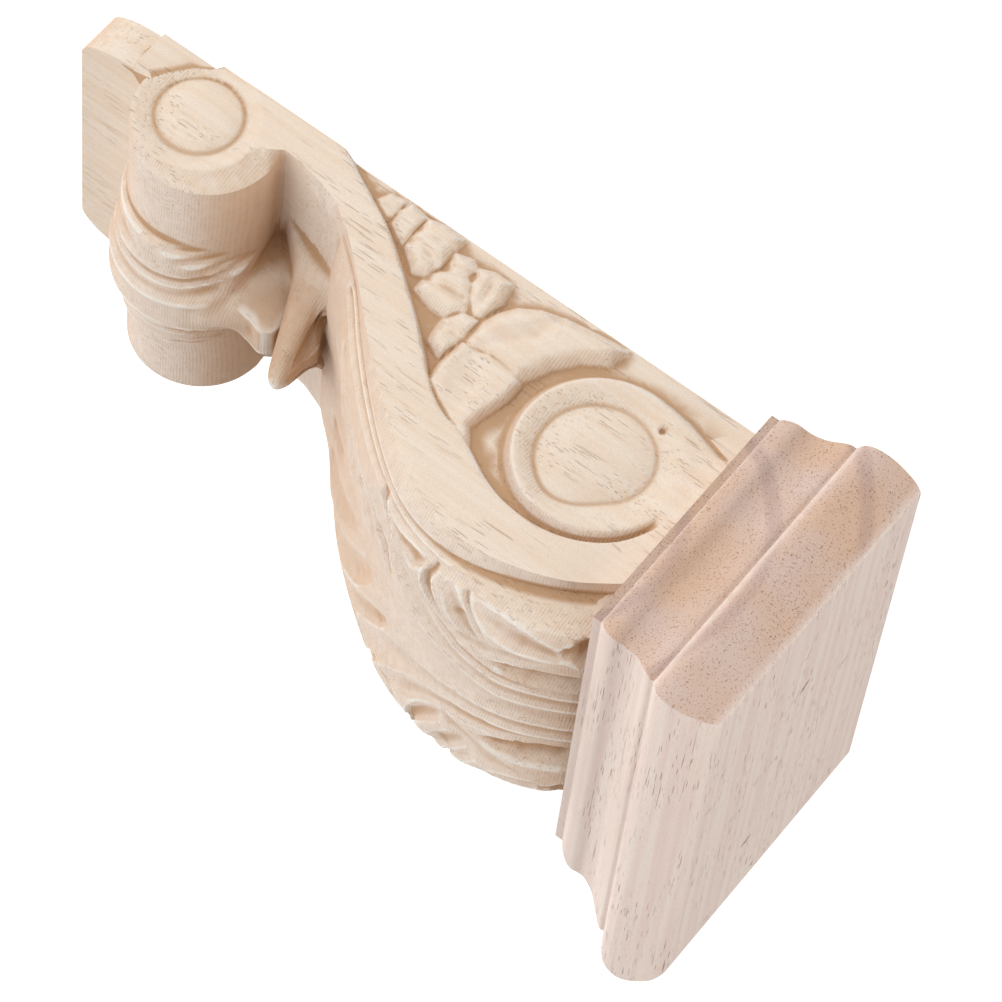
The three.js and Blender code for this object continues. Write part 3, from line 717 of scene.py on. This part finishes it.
# The wood. Each noise has its spots per millimetre, with the grain last, its detail, and a shift that
# keeps it from following another one. Each pair says where a mask starts and where it is full.
VESSEL_DASHES = ((5.6, 5.6, 0.22), 0, 7)
VESSEL_DASH_EDGE = (0.71, 0.79)
VESSEL_PATCHES = ((0.16, 0.16, 0.05), 1, 23)
VESSEL_PATCH_EDGE = (0.36, 0.6)
STREAKS = ((0.7, 0.7, 0.018), 3, 41)
FIBRE_FUZZ = ((7, 7, 2.2), 2, 3)
CLOUDS = ((0.06, 0.06, 0.03), 2, 11)
SOFT_EDGE = (0.3, 0.7)
NOISE_SHIFT = (1.7, 0.6)
RIPPLE_PITCH = 0.53
RIPPLE_WAVER = ((0.35, 0.35, 0.35), 1, 5)
RIPPLE_WAVER_RADIANS = 3.0


def add_node(tree, kind, **settings):
    """A node with its settings, and with its inputs either linked or given a value by name."""
    made = tree.nodes.new(kind)
    inputs = settings.pop("inputs", {})
    for name, value in settings.items():
        setattr(made, name, value)
    for name, value in inputs.items():
        if isinstance(value, bpy.types.NodeSocket):
            tree.links.new(value, made.inputs[name])
        else:
            made.inputs[name].default_value = value
    return made


def ramp_between(tree, value, low, high, curve="SMOOTHSTEP"):
    inputs = {"Value": value, "From Min": low, "From Max": high}
    ramp = add_node(tree, "ShaderNodeMapRange", interpolation_type=curve, inputs=inputs)
    return ramp.outputs["Result"]


def reckon(tree, operation, *values):
    return add_node(tree, "ShaderNodeMath", operation=operation, inputs=dict(enumerate(values))).outputs[0]


def product(tree, first, second):
    return reckon(tree, "MULTIPLY", first, second)


def vector_reckon(tree, operation, inputs):
    return add_node(tree, "ShaderNodeVectorMath", operation=operation, inputs=inputs)


def mixed(tree, share, under, over):
    mix = tree.nodes.new("ShaderNodeMix")
    mix.data_type = "RGBA"
    for socket, value in zip((mix.inputs[0], mix.inputs[6], mix.inputs[7]), (share, under, over)):
        if isinstance(value, bpy.types.NodeSocket):
            tree.links.new(value, socket)
        else:
            socket.default_value = value
    return mix.outputs[2]


def tinted(tree, colour, tint, mask, strength):
    return mixed(tree, product(tree, mask, strength), colour, tint)


def new_effect(name, outputs):
    """An empty node group that reads a place in millimetres, the grain running along its last axis."""
    effect = bpy.data.node_groups.new(name, "ShaderNodeTree")
    effect.interface.new_socket("Place", in_out="INPUT", socket_type="NodeSocketVector")
    for output in outputs:
        effect.interface.new_socket(output, in_out="OUTPUT", socket_type="NodeSocketFloat")
    place = effect.nodes.new("NodeGroupInput").outputs["Place"]
    return effect, place, effect.nodes.new("NodeGroupOutput")


def noise(tree, place, scale, detail, shift):
    location = (shift, shift * NOISE_SHIFT[0], shift * NOISE_SHIFT[1])
    stretched = add_node(tree, "ShaderNodeMapping",
                         inputs={"Vector": place, "Scale": scale, "Location": location})
    cloud = add_node(tree, "ShaderNodeTexNoise",
                     inputs={"Vector": stretched.outputs[0], "Scale": 1.0, "Detail": detail})
    return cloud.outputs["Fac"]


def grain_effect():
    """Open vessels as short thin dashes, soft streaks along the grain, a fine fuzz, and wide clouds."""
    effect, place, out = new_effect("wood_grain", ["Vessel", "Streak", "Fuzz", "Cloud"])
    dashes = ramp_between(effect, noise(effect, place, *VESSEL_DASHES), *VESSEL_DASH_EDGE)
    patches = ramp_between(effect, noise(effect, place, *VESSEL_PATCHES), *VESSEL_PATCH_EDGE)
    streaks = ramp_between(effect, noise(effect, place, *STREAKS), *SOFT_EDGE)
    clouds = ramp_between(effect, noise(effect, place, *CLOUDS), *SOFT_EDGE)
    effect.links.new(product(effect, dashes, patches), out.inputs["Vessel"])
    effect.links.new(streaks, out.inputs["Streak"])
    effect.links.new(noise(effect, place, *FIBRE_FUZZ), out.inputs["Fuzz"])
    effect.links.new(clouds, out.inputs["Cloud"])
    return effect


def cutter_effect():
    """Ripples left by the carving cutter: level steps down the piece, wavering a little."""
    effect, place, out = new_effect("cutter_ripples", ["Ripple"])
    waver = product(effect, noise(effect, place, *RIPPLE_WAVER), RIPPLE_WAVER_RADIANS)
    level = add_node(effect, "ShaderNodeSeparateXYZ", inputs={0: place}).outputs["Z"]
    phase = product(effect, level, 2 * math.pi / RIPPLE_PITCH)
    wave = reckon(effect, "SINE", reckon(effect, "ADD", phase, waver))
    effect.links.new(ramp_between(effect, wave, -1, 1, "LINEAR"), out.inputs["Ripple"])
    return effect


def new_wood(name, roughness, specular):
    """A wood material, with its node tree, its shader and the coordinates of the piece."""
    material = bpy.data.materials.new(name)
    material.use_nodes = True
    tree = material.node_tree
    shader = tree.nodes["Principled BSDF"]
    shader.inputs["Roughness"].default_value = roughness
    shader.inputs["Specular IOR Level"].default_value = specular
    return material, tree, shader, tree.nodes.new("ShaderNodeTexCoord")


def in_millimetres(tree, place):
    return vector_reckon(tree, "SCALE", {0: place, "Scale": 1 / MM}).outputs[0]


def effect_node(tree, effect, place):
    return add_node(tree, "ShaderNodeGroup", node_tree=effect, inputs={"Place": place})


def add_bump(tree, shader, height, distance):
    bump = add_node(tree, "ShaderNodeBump", inputs={"Height": height, "Distance": distance, "Strength": 1.0})
    tree.links.new(bump.outputs["Normal"], shader.inputs["Normal"])


wood_grain = grain_effect()
cutter_ripples = cutter_effect()

# The colours of the body's wood, how strongly each covers the one before it, and where its masks start
# and are full. Facing masks go by the surface's direction, and places are in millimetres. Besides the
# wood's own colours, there is painted shade on front-facing surfaces, in the throat, under the cap, in
# hollows and in ripple troughs, and a painted highlight on crests.
BODY_CREAM = (0.83, 0.68, 0.54, 1)
BODY_PALE = (0.86, 0.75, 0.64, 1)
# A brown used both for random dark flecks in the wood and for painted shade in the throat, under the cap, in
# hollows and in ripple troughs.
SPECKLE_AND_SHADE_BROWN = (0.52, 0.30, 0.15, 1)
BODY_END_GRAIN = (0.62, 0.40, 0.25, 1)
# A pale tint for crests: painted highlight.
BODY_CREST_HIGHLIGHT = (0.90, 0.86, 0.80, 1)
# A greyer, darker tone for surfaces facing the front: painted shade.
BODY_FRONT_SHADE = (0.81, 0.70, 0.62, 1)
VESSEL_BROWN = (0.45, 0.26, 0.13, 1)
BODY_ROUGHNESS = 0.72
BODY_SPECULAR = 0.25
BOARD_ZONE = (-10.0, -8.8)
PLANED_FACING = (0.9, 0.98)
CARVED_FACING = (0.985, 0.9)
FRONTAL_FACING = (0.9, 0.5)
END_GRAIN_FACING = (0.25, 0.95)
CREST_RANGE = (0.02, 0.09)
HOLLOW_RANGE = (0.02, 0.25)
# Heights over which the painted shadow under the cap fades in.
UNDER_CAP_SHADOW = (43.0, 56.0)
# The middle, reach and edge of the painted shade in the throat's recess.
THROAT_PLACE = (0, -22, -31)
THROAT_REACH = (24, 13, 11)
THROAT_EDGE = (1.0, 0.55)
SPECKLE_EDGE = (0.44, 0.62)
RIPPLE_PATCHES = ((0.6, 0.6, 0.6), 2, 31)
RIPPLE_PATCH_EDGE = (0.25, 0.65)
FRONT_SHADE_SHARE = 0.75
END_GRAIN_SHARE = 0.7
BODY_SPECKLE_SHARE = 0.13
THROAT_SHADE_SHARE = 0.5
UNDER_CAP_SHADOW_SHARE = 0.28
HOLLOW_SHADE_SHARE = 0.85
TROUGH_SHADE_SHARE = 0.26
CREST_HIGHLIGHT_SHARE = 0.7
BODY_VESSEL_SHARE = 0.5
TROUGH_HEIGHT = -0.6
BODY_FUZZ_HEIGHT = 0.9
VESSEL_DEPTH = 1.2
BODY_BUMP = 0.00009


def body_wood():
    material, tree, shader, where = new_wood("carved_hardwood", BODY_ROUGHNESS, BODY_SPECULAR)
    place = in_millimetres(tree, where.outputs["Object"])
    grain = effect_node(tree, wood_grain, place)
    ripples = effect_node(tree, cutter_ripples, place)
    facing = add_node(tree, "ShaderNodeSeparateXYZ", inputs={0: where.outputs["Normal"]})
    sideways, squarely, upright = (reckon(tree, "ABSOLUTE", facing.outputs[axis]) for axis in "XYZ")
    apart = add_node(tree, "ShaderNodeSeparateXYZ", inputs={0: place})

    on_board = ramp_between(tree, apart.outputs["Y"], *BOARD_ZONE)
    planed = product(tree, on_board, ramp_between(tree, squarely, *PLANED_FACING))
    worked = reckon(tree, "SUBTRACT", 1.0, planed)
    carved = product(tree, ramp_between(tree, sideways, *CARVED_FACING), worked)
    frontal = product(tree, ramp_between(tree, sideways, *FRONTAL_FACING), worked)
    end_grain = ramp_between(tree, upright, *END_GRAIN_FACING)
    crest = add_node(tree, "ShaderNodeAttribute", attribute_name="crest").outputs["Fac"]
    crest = product(tree, ramp_between(tree, crest, *CREST_RANGE), carved)
    hollow = add_node(tree, "ShaderNodeAttribute", attribute_name="hollow").outputs["Fac"]
    hollow = ramp_between(tree, hollow, *HOLLOW_RANGE)
    under_cap_shadow = product(tree, ramp_between(tree, apart.outputs["Z"], *UNDER_CAP_SHADOW), frontal)
    from_throat = vector_reckon(tree, "SUBTRACT", {0: place, 1: THROAT_PLACE}).outputs[0]
    from_throat = vector_reckon(tree, "DIVIDE", {0: from_throat, 1: THROAT_REACH}).outputs[0]
    from_throat = vector_reckon(tree, "LENGTH", {0: from_throat}).outputs["Value"]
    throat_shade = ramp_between(tree, from_throat, *THROAT_EDGE)
    speckle = ramp_between(tree, grain.outputs["Fuzz"], *SPECKLE_EDGE)
    rippled = ramp_between(tree, noise(tree, place, *RIPPLE_PATCHES), *RIPPLE_PATCH_EDGE)
    trough = product(tree, product(tree, ripples.outputs["Ripple"], carved), rippled)

    colour = mixed(tree, grain.outputs["Streak"], BODY_CREAM, BODY_PALE)
    # Painted shade: surfaces facing the front rather than the side get a greyer, darker tone, standing in for
    # the dimmer light that falls on them.
    colour = tinted(tree, colour, BODY_FRONT_SHADE, frontal, FRONT_SHADE_SHARE)
    colour = tinted(tree, colour, BODY_END_GRAIN, end_grain, END_GRAIN_SHARE)
    colour = tinted(tree, colour, SPECKLE_AND_SHADE_BROWN, speckle, BODY_SPECKLE_SHARE)
    # Painted shade: darker brown in the recess of the throat, strongest in its middle.
    colour = tinted(tree, colour, SPECKLE_AND_SHADE_BROWN, throat_shade, THROAT_SHADE_SHARE)
    # Painted shadow: darker brown on front-facing surfaces just under the cap.
    colour = tinted(tree, colour, SPECKLE_AND_SHADE_BROWN, under_cap_shadow, UNDER_CAP_SHADOW_SHARE)
    # Painted shade: darker brown in hollows, by how far each point lies below the smoothed surface.
    colour = tinted(tree, colour, SPECKLE_AND_SHADE_BROWN, hollow, HOLLOW_SHADE_SHARE)
    # Painted shade: darker brown in the troughs of the cutter ripples, on top of their bump.
    colour = tinted(tree, colour, SPECKLE_AND_SHADE_BROWN, trough, TROUGH_SHADE_SHARE)
    # Painted highlight: a pale tint along the crests and ridges of the carving.
    colour = tinted(tree, colour, BODY_CREST_HIGHLIGHT, crest, CREST_HIGHLIGHT_SHARE)
    colour = tinted(tree, colour, VESSEL_BROWN, grain.outputs["Vessel"], BODY_VESSEL_SHARE)
    tree.links.new(colour, shader.inputs["Base Color"])

    height = product(tree, trough, TROUGH_HEIGHT)
    height = reckon(tree, "ADD", height, product(tree, grain.outputs["Fuzz"], BODY_FUZZ_HEIGHT))
    height = reckon(tree, "SUBTRACT", height, product(tree, grain.outputs["Vessel"], VESSEL_DEPTH))
    add_bump(tree, shader, height, BODY_BUMP)
    return material


body.data.materials.clear()
body.data.materials.append(body_wood())

# The cap: a flat board of the same bare wood with its grain across the front, moulded on three edges
# with a quarter round over a hollow, glued and nailed on top of the carved body.
CAP_WIDTH = 99.5
CAP_DEPTH = 60
CAP_BULGE = 4.8
CAP_CORNER = 0.5
CAP_CORNER_POINTS = 5
# The moulding, as (outward, down). Outward counts from a line CAP_BULGE inside the widest edge.
CAP_PROFILE = [
    (-0.4, 0), (0.5, 0.05), (1.4, 0.45), (2.7, 1.6), (3.7, 3.4), (4.5, 5.4), (4.8, 7.4), (4.5, 9.6),
    (3.5, 11.3), (2.1, 12.4), (0.9, 13.0), (0.9, 13.9), (0.2, 15.1), (-1, 16.6), (-2.4, 18.5),
    (-3.3, 20.7), (-3.45, 22.2), (-3.3, 23.8), (-3.7, 25.3), (-4.7, 26.8), (-5.6, 27.6), (-5.7, 27.7),
    (-5.7, 29.2),
]
CAP_STEPS = 3
CAP_SHARP_ANGLE = 30
# Each slit left by a brad: its place across and out, half its length, and its turn in degrees.
NAIL_SLITS = [(-18.0, 26.9, 1.4, -57), (26.0, 35.3, 1.5, -78)]
SLIT_HALF_WIDTH = 0.42
SLIT_DEPTH = 1.6
SLIT_SEGMENTS = (24, 12)


def cap_outline(outward):
    """The outline of the board at this distance outward, with slightly eased front corners."""
    half_width = CAP_WIDTH / 2 - CAP_BULGE + outward
    depth = CAP_DEPTH - CAP_BULGE + outward
    corner_x, corner_y = half_width - CAP_CORNER, depth - CAP_CORNER
    turns = np.radians(np.linspace(0, 90, CAP_CORNER_POINTS))
    corner = [(corner_x + CAP_CORNER * math.cos(turn), corner_y + CAP_CORNER * math.sin(turn))
              for turn in turns]
    right = [(half_width, 0)] + corner
    return right + [(-x, y) for x, y in reversed(right)]


def cap_board():
    profile = rounded(CAP_PROFILE, (len(CAP_PROFILE) - 1) * CAP_STEPS + 1)
    return closed_loft([[(x * MM, -y * MM, (HEIGHT / 2 - down) * MM) for x, y in cap_outline(outward)]
                        for outward, down in profile])


def nail_slits():
    mesh = bmesh.new()
    around, along = SLIT_SEGMENTS
    for x, out, half_length, turn in NAIL_SLITS:
        place = Matrix.Translation((x * MM, -out * MM, HEIGHT / 2 * MM))
        place = place @ Matrix.Rotation(math.radians(turn), 4, "Z")
        size = Matrix.Diagonal((half_length * MM, SLIT_HALF_WIDTH * MM, SLIT_DEPTH * MM, 1))
        bmesh.ops.create_uvsphere(mesh, u_segments=around, v_segments=along, radius=1, matrix=place @ size)
    return mesh


def make_cap():
    cap = as_object("cap_board_fine", cap_board())
    cut_with(cap, "DIFFERENCE", as_object("nail_slits", nail_slits()))
    shade(cap, CAP_SHARP_ANGLE)
    return cap


CAP_BEIGE = (0.80, 0.69, 0.61, 1)
CAP_PINK = (0.75, 0.60, 0.54, 1)
CAP_END = (0.62, 0.48, 0.42, 1)
CAP_END_ORANGE = (0.62, 0.42, 0.30, 1)
CAP_RING = (0.38, 0.26, 0.25, 1)
CAP_PORE = (0.30, 0.12, 0.05, 1)
CAP_ROUGHNESS = 0.66
CAP_SPECULAR = 0.3
CAP_END_FACING = (0.35, 0.8)
RING_CENTRE = (38.0, -40.0, 0.0)
RING_SHAPE = {"Scale": 0.022, "Distortion": 2.2, "Detail": 2.0, "Detail Scale": 0.35}
RING_EDGE = (0.86, 1.0)
END_PORES = ((3.1, 3.1, 0.3), 0, 61)
END_PORE_EDGE = (0.66, 0.74)
RING_SHARE = 0.4
CAP_SPECKLE_SHARE = 0.14
END_PORE_SHARE = 0.6
CAP_VESSEL_SHARE = 0.62
CAP_FUZZ_HEIGHT = 0.5
CAP_BUMP = 0.00008


def cap_wood():
    material, tree, shader, where = new_wood("moulded_hardwood", CAP_ROUGHNESS, CAP_SPECULAR)
    apart = add_node(tree, "ShaderNodeSeparateXYZ", inputs={0: where.outputs["Object"]})
    turned = add_node(tree, "ShaderNodeCombineXYZ",
                      inputs={"X": apart.outputs["Y"], "Y": apart.outputs["Z"], "Z": apart.outputs["X"]})
    place = in_millimetres(tree, turned.outputs[0])
    grain = effect_node(tree, wood_grain, place)
    facing = add_node(tree, "ShaderNodeSeparateXYZ", inputs={0: where.outputs["Normal"]})
    end_grain = ramp_between(tree, reckon(tree, "ABSOLUTE", facing.outputs["X"]), *CAP_END_FACING)
    centred = add_node(tree, "ShaderNodeMapping", inputs={"Vector": place, "Location": RING_CENTRE})
    rings = add_node(tree, "ShaderNodeTexWave", wave_type="RINGS", rings_direction="Z",
                     inputs={"Vector": centred.outputs[0], **RING_SHAPE})
    ring = ramp_between(tree, rings.outputs["Fac"], *RING_EDGE)
    speckle = ramp_between(tree, grain.outputs["Fuzz"], *SPECKLE_EDGE)
    pores = product(tree, ramp_between(tree, noise(tree, place, *END_PORES), *END_PORE_EDGE), end_grain)

    colour = mixed(tree, grain.outputs["Streak"], CAP_BEIGE, CAP_PINK)
    end_colour = mixed(tree, grain.outputs["Cloud"], CAP_END, CAP_END_ORANGE)
    end_colour = tinted(tree, end_colour, CAP_RING, ring, RING_SHARE)
    colour = mixed(tree, end_grain, colour, end_colour)
    colour = tinted(tree, colour, CAP_RING, speckle, CAP_SPECKLE_SHARE)
    colour = tinted(tree, colour, CAP_PORE, pores, END_PORE_SHARE)
    colour = tinted(tree, colour, CAP_PORE, grain.outputs["Vessel"], CAP_VESSEL_SHARE)
    tree.links.new(colour, shader.inputs["Base Color"])

    height = product(tree, grain.outputs["Fuzz"], CAP_FUZZ_HEIGHT)
    height = reckon(tree, "SUBTRACT", height, product(tree, grain.outputs["Vessel"], VESSEL_DEPTH))
    add_bump(tree, shader, height, CAP_BUMP)
    return material


cap = make_cap()
cap.data.materials.clear()
cap.data.materials.append(cap_wood())
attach(cap, "root")
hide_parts("cap_board")
